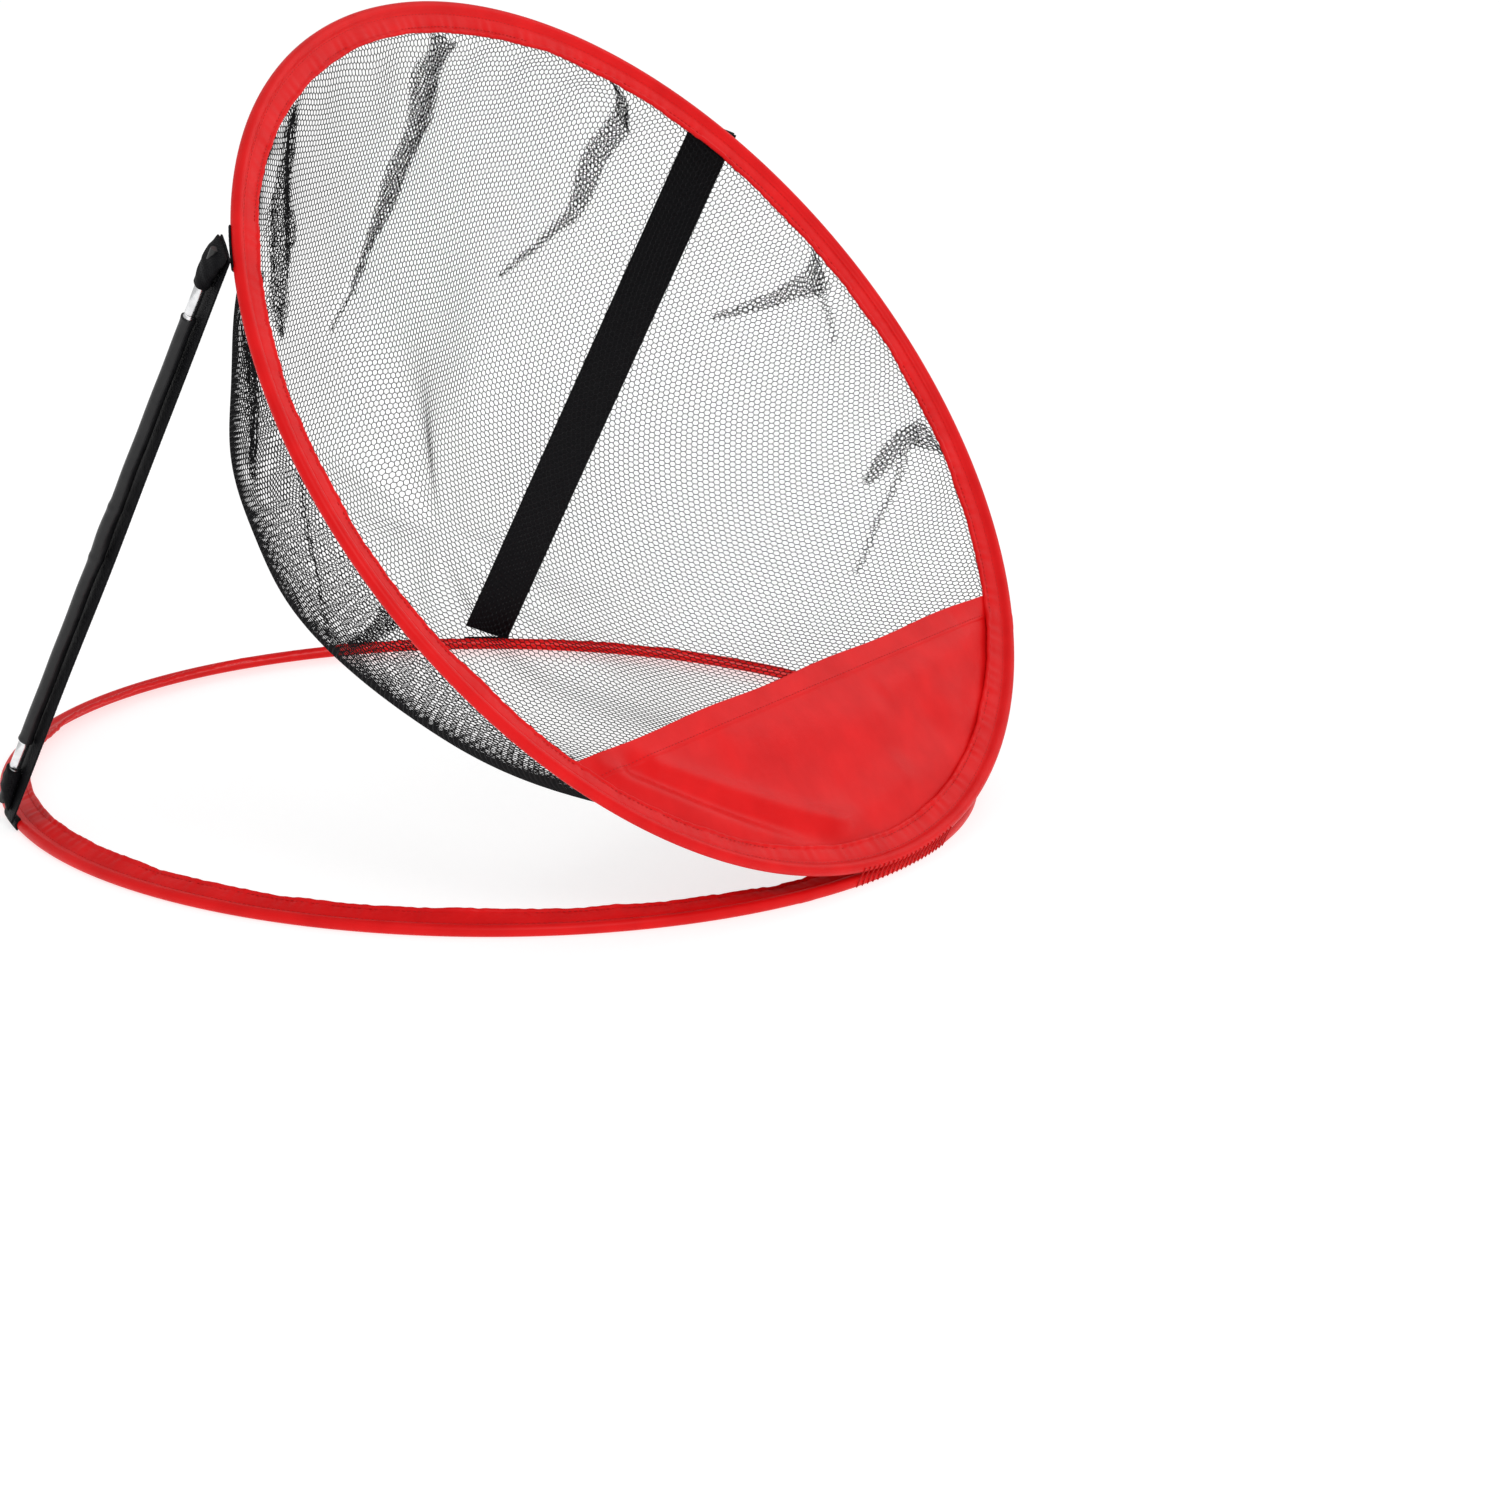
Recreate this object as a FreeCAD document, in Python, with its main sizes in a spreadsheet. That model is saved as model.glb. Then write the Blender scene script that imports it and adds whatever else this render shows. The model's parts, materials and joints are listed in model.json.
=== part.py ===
"""Pop-up golf chipping net: two sprung hoops sewn together at the front, a net pocket and two folding side struts.

Millimetres. The origin is the centre of the base hoop on the ground, +Z is up and the net's mouth faces -Y.
"""

import FreeCAD, Part
import Sketcher
import math
import os
import re

from FreeCAD import Placement, Rotation, Vector

DIMENSIONS = {
    # both hoops: a wire in a channel at the outer edge of a flat sewn sleeve
    "hoop_outer_radius": 250.0,
    "channel_outer_radius": 3.1,
    "channel_bore_radius": 2.4,
    "wire_radius": 1.5,
    "wire_turn": 359.6,
    "crimp_outer_radius": 2.2,
    "crimp_bore_radius": 1.55,
    "crimp_turn": 5.5,
    "crimp_bearing": -62.0,
    "sleeve_width": 17.0,
    "flange_half_thickness": 0.8,
    "flange_root": 2.7,
    "base_flange_rise": 12.0,
    "top_flange_rise": -8.0,
    "sleeve_segments": 8,
    # how the hoops stand
    "base_wire_height": 2.9,
    "hinge_height": 6.6,
    "top_wire_lift": 3.6,
    "hoop_tilt": 50.3,
    "stitch_radius": 0.4,
    "stitch_clearance": 0.05,
    "stitch_pitch": 8.0,
    # the mouth's lower panel
    "panel_radius": 232.9,
    "panel_chord": 143.0,
    "panel_thickness": 0.8,
    "hem_width": 12.0,
    "hem_thickness": 1.4,
    "hem_half_length": 168.0,
    # the net pocket's wall; its sections are in NET_SECTIONS
    "net_wall": 1.5,
    "net_top": 1.2,
    # webbing tabs sewn round the hoops, where the straps start
    "tab_gap": 0.05,
    "tab_thickness": 1.2,
    "tab_turn": 5.75,
    "tab_cut_outer": 6.0,
    "tab_cut_inner": 0.4,
    "tab_cut_below": 2.6,
    "foot_bearing": 36.5,
    "head_bearing": 35.5,
    "foot_pivot_radius": 251.1,
    "foot_pivot_height": 8.0,
    "head_pivot_radius": 252.4,
    # side straps and the poles on them
    "strap_width": 25.0,
    "strap_thickness": 1.4,
    "strap_overlap": 2.5,
    "pole_offset": 4.8,
    "pocket_start": 3.0,
    "pocket_length": 22.0,
    "pocket_width": 13.0,
    "pocket_depth": 7.6,
    "pocket_bore_radius": 3.15,
    "pocket_floor": 1.2,
    "tip_start": 4.6,
    "tip_radius": 2.3,
    "tip_length": 24.0,
    "tip_closed_length": 6.0,
    "cord_bore_radius": 1.0,
    "ferrule_start": 17.0,
    "ferrule_length": 34.0,
    "ferrule_outer_radius": 2.9,
    "ferrule_bore_radius": 2.4,
    "rod_start": 29.0,
    "rod_radius": 2.35,
    "rod_bore_radius": 1.3,
    "mid_gap": 0.4,
    "mid_ferrule_length": 32.0,
    "mid_ferrule_outer_radius": 2.95,
    "cord_radius": 0.8,
    "cord_start": 11.0,
    "pole_sleeve_start": 44.0,
    "pole_sleeve_outer_radius": 3.9,
    "pole_sleeve_bore_radius": 3.3,
}

# Sections of the pocket behind the mouth: depth, radius and rise of the centre up the hoop's slope.
NET_SECTIONS = [
    (30.0, 225.0, 4.0),
    (60.0, 212.0, 9.0),
    (90.0, 193.0, 15.0),
    (115.0, 164.0, 21.0),
    (132.0, 118.0, 24.0),
]

doc = FreeCAD.newDocument("ChippingNet")
sheet = doc.addObject("Spreadsheet::Sheet", "Sizes")
sub_parts = []


def write_cell(row, alias, value):
    sheet.set("A%d" % row, alias)
    sheet.set("B%d" % row, "%.6g" % value)
    sheet.setAlias("B%d" % row, alias)


def read(expression):
    """The value of an expression in the sheet's aliases."""
    return float(sheet.evalExpression(expression))


def bound(expression):
    """The same expression with every alias written as a cell of the sheet, for another object's use."""
    return re.sub(r"[a-z]+_[a-z_]+", lambda alias: "Sizes." + alias.group(), expression)


for number, (alias, value) in enumerate(DIMENSIONS.items(), start=1):
    write_cell(number, alias, value)
doc.recompute()


# ---- bodies, sketches and features ----


def new_body(label):
    body = doc.addObject("PartDesign::Body", label)
    body.Label = label
    sub_parts.append(body)
    return body


def new_sketch(body, role):
    sketch = body.newObject("Sketcher::SketchObject", body.Label + "_sketch")
    plane = [feature for feature in body.Origin.OriginFeatures if feature.Role == role][0]
    sketch.AttachmentSupport = [(plane, "")]
    sketch.MapMode = "FlatFace"
    return sketch


def fix(sketch, kind, places, expression):
    """Adds one dimension to a sketch and ties it to the sheet."""
    index = sketch.addConstraint(Sketcher.Constraint(kind, *places, read(expression)))
    sketch.setExpression("Constraints[%d]" % index, bound(expression))


def add_circle(sketch, centre_x, radius):
    """A circle whose centre lies on the sketch's horizontal axis, or at its origin if centre_x is None."""
    x = 0.0 if centre_x is None else read(centre_x)
    circle = Part.Circle(Vector(x, 0, 0), Vector(0, 0, 1), read(radius))
    index = sketch.addGeometry(circle, False)
    if centre_x is None:
        sketch.addConstraint(Sketcher.Constraint("Coincident", index, 3, -1, 1))
    else:
        sketch.addConstraint(Sketcher.Constraint("PointOnObject", index, 3, -1))
        fix(sketch, "DistanceX", (-1, 1, index, 3), centre_x)
    fix(sketch, "Radius", (index,), radius)


def add_polygon(sketch, corners):
    """A closed outline; each corner is a pair of expressions, and none of them is zero."""
    points = [Vector(read(x), read(y), 0) for x, y in corners]
    first = None
    for index, (x, y) in enumerate(corners):
        after = points[(index + 1) % len(points)]
        line = sketch.addGeometry(Part.LineSegment(points[index], after), False)
        first = line if first is None else first
        fix(sketch, "DistanceX", (-1, 1, line, 1), x)
        fix(sketch, "DistanceY", (-1, 1, line, 1), y)
    for index in range(len(corners)):
        following = first + (index + 1) % len(corners)
        sketch.addConstraint(Sketcher.Constraint("Coincident", first + index, 2, following, 1))


def rectangle(half_x, half_y):
    return [
        ("-(" + half_x + ")", "-(" + half_y + ")"),
        (half_x, "-(" + half_y + ")"),
        (half_x, half_y),
        ("-(" + half_x + ")", half_y),
    ]


def pad(body, sketch, length):
    feature = body.newObject("PartDesign::Pad", body.Label + "_pad")
    feature.Profile = sketch
    feature.setExpression("Length", bound(length))
    return feature


def turn(body, sketch, angle, kind="PartDesign::Revolution", midplane=False):
    """Turns a sketch on the XZ plane about the body's Z axis."""
    feature = body.newObject(kind, body.Label + "_turn")
    feature.Profile = sketch
    feature.ReferenceAxis = (sketch, ["V_Axis"])
    feature.Midplane = midplane
    if angle is None:
        feature.Angle = 360.0
    else:
        feature.setExpression("Angle", bound(angle))
    return feature


# ---- where things stand ----


def direction(vector):
    return Vector(vector).normalize()


tilt = math.radians(read("hoop_tilt"))
up_slope = Vector(0, math.cos(tilt), math.sin(tilt))
mouth_normal = Vector(0, -math.sin(tilt), math.cos(tilt))
wire_ring_radius = read("hoop_outer_radius - channel_outer_radius")
hinge = Vector(0, -wire_ring_radius, read("hinge_height"))
top_centre = hinge + mouth_normal * read("top_wire_lift") + up_slope * wire_ring_radius

base_place = Placement(Vector(0, 0, read("base_wire_height")), Rotation())
top_place = Placement(top_centre, Rotation(Vector(1, 0, 0), read("hoop_tilt")))


def spun(place, bearing):
    """A hoop's placement with the piece turned about the hoop's own axis."""
    return place.multiply(Placement(Vector(), Rotation(Vector(0, 0, 1), bearing)))


def ring_point(place, radius, bearing):
    angle = math.radians(bearing)
    return place.multVec(Vector(radius * math.cos(angle), radius * math.sin(angle), 0))


def ring_tangent(place, bearing):
    angle = math.radians(bearing)
    return place.Rotation.multVec(Vector(-math.sin(angle), math.cos(angle), 0))


foot_pivot = ring_point(base_place, read("foot_pivot_radius"), read("foot_bearing"))
foot_pivot.z = read("foot_pivot_height")
head_pivot = ring_point(top_place, read("head_pivot_radius"), read("head_bearing"))
strut_axis = direction(head_pivot - foot_pivot)
write_cell(len(DIMENSIONS) + 1, "strut_length", (head_pivot - foot_pivot).Length)
doc.recompute()

# The strap's width follows both hoops as nearly as one flat strap can.
mean_tangent = ring_tangent(base_place, read("foot_bearing")) + ring_tangent(top_place, read("head_bearing"))
across = direction(mean_tangent - strut_axis * mean_tangent.dot(strut_axis))
outward = across.cross(strut_axis)


def mirrored(vector):
    return Vector(-vector.x, vector.y, vector.z)


def strut_place(side):
    """The frame of a strut: X across the strap, Y outward and Z from the foot's pivot to the head's."""
    if side == "right":
        start, along, away = foot_pivot, strut_axis, outward
    else:
        start, along, away = mirrored(foot_pivot), mirrored(strut_axis), mirrored(outward)
    turned = Rotation(away.cross(along), away, along, "ZXY")
    return Placement(start, turned)


def end_place(side, end):
    """The frame that a strut's end pieces start from, with Z along the pole towards its middle."""
    place = strut_place(side)
    if end == "head":
        half_turn = Rotation(Vector(0, 1, 0), 180)
        place = place.multiply(Placement(Vector(0, 0, read("strut_length")), half_turn))
    return place


def along_pole(place, start, offset="pole_offset"):
    shift = Vector(0, 0 if offset is None else read(offset), read(start))
    return place.multiply(Placement(shift, Rotation()))


# ---- hoops ----

WIRE_RING = "hoop_outer_radius - channel_outer_radius"


def hoop_wire(label, place):
    body = new_body(label)
    sketch = new_sketch(body, "XZ_Plane")
    add_circle(sketch, WIRE_RING, "wire_radius")
    turn(body, sketch, "wire_turn")
    body.Placement = spun(place, read("crimp_bearing"))


def hoop_crimp(label, place):
    body = new_body(label)
    sketch = new_sketch(body, "XZ_Plane")
    add_circle(sketch, WIRE_RING, "crimp_outer_radius")
    add_circle(sketch, WIRE_RING, "crimp_bore_radius")
    turn(body, sketch, "crimp_turn", midplane=True)
    body.Placement = spun(place, read("crimp_bearing"))


def flange_corner(inward, half, rise):
    """A corner of the flange's section: so far in from the wire, and so far off the flange's middle."""
    x = "%s - (%s) * cos(%s) - (%s) * sin(%s)" % (WIRE_RING, inward, rise, half, rise)
    y = "(%s) * sin(%s) + (%s) * cos(%s)" % (inward, rise, half, rise)
    return x, y


def hoop_sleeve(label, place, rise, flat):
    """One segment of the sleeve, repeated round the hoop."""
    body = new_body(label)
    channel = new_sketch(body, "XZ_Plane")
    add_circle(channel, WIRE_RING, "channel_outer_radius")
    add_circle(channel, WIRE_RING, "channel_bore_radius")
    segment = "360deg / sleeve_segments"
    features = [turn(body, channel, segment)]
    flange = new_sketch(body, "XZ_Plane")
    tip = "sleeve_width - channel_outer_radius"
    slant = rise + " * 1deg"
    corners = [
        flange_corner("flange_root", "flange_half_thickness", slant),
        flange_corner(tip, "flange_half_thickness", slant),
        flange_corner(tip, "-flange_half_thickness", slant),
        flange_corner("flange_root", "-flange_half_thickness", slant),
    ]
    add_polygon(flange, corners)
    features.append(turn(body, flange, segment))
    if flat:
        features.append(shave_flat(body, segment))
    pattern = body.newObject("PartDesign::PolarPattern", label + "_pattern")
    pattern.Originals = features
    pattern.Axis = (channel, ["V_Axis"])
    pattern.setExpression("Occurrences", bound("sleeve_segments"))
    body.Tip = pattern
    body.Placement = place


def shave_flat(body, segment):
    """Cuts the narrow flat that the base hoop rests on."""
    ground = new_sketch(body, "XZ_Plane")
    inner = WIRE_RING + " - channel_outer_radius"
    outer = "hoop_outer_radius + channel_outer_radius"
    below = "-(base_wire_height + channel_outer_radius)"
    corners = [(inner, below), (outer, below), (outer, "-base_wire_height"), (inner, "-base_wire_height")]
    add_polygon(ground, corners)
    return turn(body, ground, segment, kind="PartDesign::Groove")


def webbing_tab(label, place, bearing):
    """A short tab of webbing that is folded round the outer edge of a hoop's sleeve."""
    body = new_body(label)
    section = new_sketch(body, "XZ_Plane")
    add_circle(section, WIRE_RING, "channel_outer_radius + tab_gap + tab_thickness")
    add_circle(section, WIRE_RING, "channel_outer_radius + tab_gap")
    turn(body, section, "tab_turn", midplane=True)
    opening = new_sketch(body, "XZ_Plane")
    inner = WIRE_RING + " - tab_cut_outer"
    outer = WIRE_RING + " + tab_cut_outer"
    middle = WIRE_RING + " + tab_cut_inner"
    corners = [
        (inner, "-tab_cut_outer"),
        (outer, "-tab_cut_outer"),
        (outer, "-tab_cut_below"),
        (middle, "-tab_cut_below"),
        (middle, "tab_cut_outer"),
        (inner, "tab_cut_outer"),
    ]
    add_polygon(opening, corners)
    turn(body, opening, None, kind="PartDesign::Groove")
    body.Placement = spun(place, bearing)


def seam_stitches(label, count):
    """Thread stitches across the outer edges of both sleeves at the front: they are the hoops' hinge."""
    radius = read("stitch_radius")
    reach = read("channel_outer_radius + stitch_clearance") + radius
    stitches = []
    for number in range(count):
        x = (number - (count - 1) / 2.0) * read("stitch_pitch")
        back = math.sqrt(wire_ring_radius**2 - x**2)
        low = Vector(x, -back, read("base_wire_height"))
        high = top_centre + Vector(x, 0, 0) - up_slope * back
        step = direction(high - low)
        off = step.cross(Vector(1, 0, 0)) * -reach
        length = (high - low).Length
        stitches.append(Part.makeCylinder(radius, length, low + off, step))
    feature = doc.addObject("Part::Feature", label)
    feature.Label = label
    feature.Shape = Part.makeCompound(stitches)
    sub_parts.append(feature)


# ---- mouth panel and net pocket ----


def front_panel(label):
    body = new_body(label)
    outline = new_sketch(body, "XY_Plane")
    radius = read("panel_radius")
    chord = read("panel_chord")
    half = math.sqrt(radius**2 - chord**2)
    start = math.atan2(-chord, -half)
    finish = math.atan2(-chord, half)
    circle = Part.Circle(Vector(0, 0, 0), Vector(0, 0, 1), radius)
    arc = outline.addGeometry(Part.ArcOfCircle(circle, start, finish), False)
    line = outline.addGeometry(Part.LineSegment(Vector(half, -chord, 0), Vector(-half, -chord, 0)), False)
    outline.addConstraint(Sketcher.Constraint("Coincident", arc, 3, -1, 1))
    outline.addConstraint(Sketcher.Constraint("Coincident", arc, 2, line, 1))
    outline.addConstraint(Sketcher.Constraint("Coincident", line, 2, arc, 1))
    outline.addConstraint(Sketcher.Constraint("Horizontal", line))
    fix(outline, "Radius", (arc,), "panel_radius")
    fix(outline, "DistanceY", (-1, 1, line, 1), "-panel_chord")
    pad(body, outline, "panel_thickness")
    hem = new_sketch(body, "XY_Plane")
    low = "-(panel_chord + hem_width)"
    corners = [
        ("-hem_half_length", low),
        ("hem_half_length", low),
        ("hem_half_length", "-panel_chord"),
        ("-hem_half_length", "-panel_chord"),
    ]
    add_polygon(hem, corners)
    pad(body, hem, "hem_thickness")
    body.Placement = top_place


def section_circle(name, radius, rise, height):
    circle = doc.addObject("Part::Circle", name)
    circle.setExpression("Radius", radius)
    circle.Placement = Placement(Vector(0, rise, height), Rotation())
    return circle


def net_skin(name, wall, top):
    """The pocket's outer skin, or its inner one where wall isn't zero."""
    mouth = "Sizes.panel_radius - %s * Sizes.net_wall" % wall
    circles = [section_circle(name + "_mouth", mouth, 0, top)]
    for number, (depth, radius, rise) in enumerate(NET_SECTIONS):
        height = -depth + wall * read("net_wall")
        across_net = "%g - %s * Sizes.net_wall" % (radius, wall)
        circles.append(section_circle("%s_%d" % (name, number), across_net, rise, height))
    skin = doc.addObject("Part::Loft", name)
    skin.Sections = circles
    skin.Solid = True
    skin.Ruled = False
    return skin


def net_pocket(label):
    rim = -read("net_top")
    outer = net_skin("net_outer", 0, rim)
    inner = net_skin("net_inner", 1, rim + read("net_wall"))
    cut = doc.addObject("Part::Cut", label)
    cut.Label = label
    cut.Base = outer
    cut.Tool = inner
    cut.Placement = top_place
    sub_parts.append(cut)


# ---- struts ----


def tube(label, place, outer, bore, length):
    body = new_body(label)
    section = new_sketch(body, "XY_Plane")
    add_circle(section, None, outer)
    if bore:
        add_circle(section, None, bore)
    pad(body, section, length)
    body.Placement = place


def pole_tip(label, place):
    """A plastic tip: closed at the outer end, with the shock cord's knot held in its bore."""
    body = new_body(label)
    wall = new_sketch(body, "XY_Plane")
    add_circle(wall, None, "tip_radius")
    add_circle(wall, None, "cord_bore_radius")
    pad(body, wall, "tip_length")
    end = new_sketch(body, "XY_Plane")
    add_circle(end, None, "tip_radius")
    pad(body, end, "tip_closed_length")
    body.Placement = place


def tip_pocket(label, place):
    """A webbing pocket that is closed at its outer end and takes the pole's tip."""
    body = new_body(label)
    wall = new_sketch(body, "XY_Plane")
    outline = rectangle("pocket_width / 2", "pocket_depth / 2")
    add_polygon(wall, outline)
    add_circle(wall, None, "pocket_bore_radius")
    pad(body, wall, "pocket_length")
    floor = new_sketch(body, "XY_Plane")
    add_polygon(floor, outline)
    pad(body, floor, "pocket_floor")
    body.Placement = place


def strap(label, place):
    body = new_body(label)
    section = new_sketch(body, "XY_Plane")
    add_polygon(section, rectangle("strap_width / 2", "strap_thickness / 2"))
    pad(body, section, "strut_length + 2 * strap_overlap")
    body.Placement = place.multiply(Placement(Vector(0, 0, -read("strap_overlap")), Rotation()))


def strut_end(side, end, rod_name):
    place = end_place(side, end)
    tip_pocket("%s_%s_pocket" % (side, end), along_pole(place, "pocket_start"))
    pole_tip("%s_%s_tip" % (side, end), along_pole(place, "tip_start"))
    tube(
        "%s_%s_ferrule" % (side, end),
        along_pole(place, "ferrule_start"),
        "ferrule_outer_radius",
        "ferrule_bore_radius",
        "ferrule_length",
    )
    tube(
        "%s_%s" % (side, rod_name),
        along_pole(place, "rod_start"),
        "rod_radius",
        "rod_bore_radius",
        "strut_length / 2 - rod_start - mid_gap",
    )


def strut(side):
    place = strut_place(side)
    strap("%s_side_strap" % side, place)
    strut_end(side, "foot", "lower_rod")
    strut_end(side, "head", "upper_rod")
    tube(
        "%s_mid_ferrule" % side,
        along_pole(place, "strut_length / 2 - mid_gap - mid_ferrule_length"),
        "mid_ferrule_outer_radius",
        "ferrule_bore_radius",
        "mid_ferrule_length",
    )
    tube(
        "%s_shock_cord" % side,
        along_pole(place, "cord_start"),
        "cord_radius",
        None,
        "strut_length - 2 * cord_start",
    )
    tube(
        "%s_pole_sleeve" % side,
        along_pole(place, "pole_sleeve_start"),
        "pole_sleeve_outer_radius",
        "pole_sleeve_bore_radius",
        "strut_length - 2 * pole_sleeve_start",
    )


hoop_wire("base_hoop_wire", base_place)
hoop_crimp("base_hoop_crimp", base_place)
hoop_sleeve("base_hoop_sleeve", base_place, "base_flange_rise", flat=True)
hoop_wire("top_hoop_wire", top_place)
hoop_crimp("top_hoop_crimp", top_place)
hoop_sleeve("top_hoop_sleeve", top_place, "top_flange_rise", flat=False)
seam_stitches("front_seam_stitches", 11)
front_panel("front_panel")
net_pocket("net_pocket")
for side in ("left", "right"):
    sign = 1 if side == "right" else -1
    foot_bearing = 90 - sign * (90 - read("foot_bearing"))
    head_bearing = 90 - sign * (90 - read("head_bearing"))
    webbing_tab(side + "_foot_tab", base_place, foot_bearing)
    webbing_tab(side + "_head_tab", top_place, head_bearing)
    strut(side)

doc.recompute()

for item in doc.Objects:
    if "Invalid" in item.State or "Error" in item.State:
        raise RuntimeError("%s failed: %s" % (item.Label, item.State))
for item in sub_parts:
    if item.Shape.isNull() or not item.Shape.isValid():
        raise RuntimeError("%s has no valid shape" % item.Label)

os.makedirs("parts", exist_ok=True)
for item in sub_parts:
    item.Shape.exportStep("parts/%s.step" % item.Label)
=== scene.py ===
"""Looks of the golf chipping net: sewn sleeves, gathered mesh, a soft front panel and webbing struts.

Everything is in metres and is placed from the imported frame's boxes and joints.
"""

import json
import math

import bpy
import numpy as np
from mathutils import Matrix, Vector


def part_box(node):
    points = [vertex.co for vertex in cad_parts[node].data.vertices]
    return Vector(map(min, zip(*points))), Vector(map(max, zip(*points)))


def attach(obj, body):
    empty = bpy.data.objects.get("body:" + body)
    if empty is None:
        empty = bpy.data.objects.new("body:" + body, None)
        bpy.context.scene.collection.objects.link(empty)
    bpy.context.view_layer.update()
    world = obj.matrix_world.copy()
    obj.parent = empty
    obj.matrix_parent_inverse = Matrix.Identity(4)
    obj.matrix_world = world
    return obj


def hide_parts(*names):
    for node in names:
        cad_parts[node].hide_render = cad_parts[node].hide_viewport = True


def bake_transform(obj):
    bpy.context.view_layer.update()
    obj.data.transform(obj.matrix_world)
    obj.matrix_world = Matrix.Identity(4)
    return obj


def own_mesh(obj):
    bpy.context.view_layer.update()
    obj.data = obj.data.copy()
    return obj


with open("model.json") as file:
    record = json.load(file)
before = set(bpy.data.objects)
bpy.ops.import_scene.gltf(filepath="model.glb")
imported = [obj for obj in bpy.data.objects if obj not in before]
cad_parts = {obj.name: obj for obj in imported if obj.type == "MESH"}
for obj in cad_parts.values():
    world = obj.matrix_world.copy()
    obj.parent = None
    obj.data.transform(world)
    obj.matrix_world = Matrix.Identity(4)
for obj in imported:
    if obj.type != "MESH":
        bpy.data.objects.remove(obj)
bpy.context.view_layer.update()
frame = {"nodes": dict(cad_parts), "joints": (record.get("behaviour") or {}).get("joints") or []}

MM = 0.001


# ---- places read from the frame ----


def corners(node):
    low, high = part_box(node)
    return np.array(low, float), np.array(high, float)


def middle(node):
    low, high = corners(node)
    return (low + high) / 2


def unit(vector):
    vector = np.asarray(vector, float)
    return vector / np.linalg.norm(vector)


def joint(name):
    found = [j for j in frame["joints"] if j["name"] == name][0]
    return np.array(found["pos_m"], float), unit(found["axis"])


WIRE_RADIUS = 1.5 * MM
wire_low, wire_high = corners("base_hoop_wire")
wire_ring_radius = (wire_high[0] - wire_low[0]) / 2 - WIRE_RADIUS
top_low, top_high = corners("top_hoop_wire")
top_span = top_high - top_low - 2 * WIRE_RADIUS
tilt = math.atan2(top_span[2], top_span[1])

X_AXIS = np.array([1.0, 0, 0])
Y_AXIS = np.array([0, 1.0, 0])
Z_AXIS = np.array([0, 0, 1.0])


class Ring:
    """One hoop: its centre, the two directions in its plane and its normal."""

    def __init__(self, centre, slope, normal):
        self.centre = np.asarray(centre, float)
        self.slope = slope
        self.normal = normal

    def at(self, radius, bearing, lift):
        """Points at these radii, bearings in radians and heights off the hoop's plane."""
        radius, bearing, lift = np.broadcast_arrays(radius, bearing, lift)
        flat = (radius * np.cos(bearing))[..., None] * X_AXIS
        flat = flat + (radius * np.sin(bearing))[..., None] * self.slope
        return self.centre + flat + lift[..., None] * self.normal

    def on_plane(self, x, y, lift):
        """Points at these distances along the hoop's two directions and heights off its plane."""
        x, y, lift = np.broadcast_arrays(x, y, lift)
        return self.centre + x[..., None] * X_AXIS + y[..., None] * self.slope + lift[..., None] * self.normal


base_ring = Ring([0, 0, (wire_low[2] + wire_high[2]) / 2], Y_AXIS, Z_AXIS)
up_slope = np.array([0, math.cos(tilt), math.sin(tilt)])
mouth_normal = np.array([0, -math.sin(tilt), math.cos(tilt)])
top_ring = Ring((top_low + top_high) / 2, up_slope, mouth_normal)

STRAP_HALF_THICKNESS = 0.7 * MM
POLE_OFFSET = 4.8 * MM

# The middle pivot's axis lies this far inward of the strut's line.
MID_AXIS_INSET = 0.8 * MM


class Strut:
    """A strut's straight line at rest, from the foot's pivot to the head's."""

    def __init__(self, side):
        self.side = side
        self.foot, across = joint(side + "_foot_fold")
        mid_axis, _ = joint(side + "_mid_fold")
        sign = 1 if side == "right" else -1
        self.across = across
        along = unit(mid_axis - self.foot)
        for _ in range(3):
            outward = unit(np.cross(across, along))
            if outward[0] * sign < 0:
                outward = -outward
            along = unit(mid_axis + MID_AXIS_INSET * outward - self.foot)
        self.along = along
        self.outward = outward
        self.middle = mid_axis + MID_AXIS_INSET * outward
        self.length = 2 * np.linalg.norm(self.middle - self.foot)

    def at(self, across, outward, along):
        """Points at these distances across the strap, outward from it and along it from the foot."""
        across, outward, along = np.broadcast_arrays(across, outward, along)
        shift = across[..., None] * self.across + outward[..., None] * self.outward
        return self.foot + shift + along[..., None] * self.along


# ---- meshes ----


def new_object(name, points, faces, material, smooth=True):
    """A mesh piece whose faces all have the same number of sides, with one material in a named slot."""
    mesh = bpy.data.meshes.new(name)
    points = np.asarray(points, float).reshape(-1, 3)
    quads = np.asarray(faces, np.int32)
    count, sides = quads.shape
    mesh.vertices.add(len(points))
    mesh.vertices.foreach_set("co", points.astype(np.float32).ravel())
    mesh.loops.add(count * sides)
    mesh.loops.foreach_set("vertex_index", quads.ravel())
    mesh.polygons.add(count)
    mesh.polygons.foreach_set("loop_start", np.arange(0, count * sides, sides, dtype=np.int32))
    mesh.polygons.foreach_set("use_smooth", np.full(count, smooth))
    mesh.update(calc_edges=True)
    mesh.validate()
    piece = bpy.data.objects.new(name, mesh)
    bpy.context.scene.collection.objects.link(piece)
    mesh.materials.append(material)
    return piece


def grid_faces(rows, columns, wrap_rows=False, wrap_columns=False):
    """Quads over a grid of points in row order."""
    row = np.arange(rows if wrap_rows else rows - 1)
    column = np.arange(columns if wrap_columns else columns - 1)
    r, c = np.meshgrid(row, column, indexing="ij")
    r2 = (r + 1) % rows
    c2 = (c + 1) % columns
    corner_numbers = [r * columns + c, r * columns + c2, r2 * columns + c2, r2 * columns + c]
    return np.stack(corner_numbers, -1).reshape(-1, 4)


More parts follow.
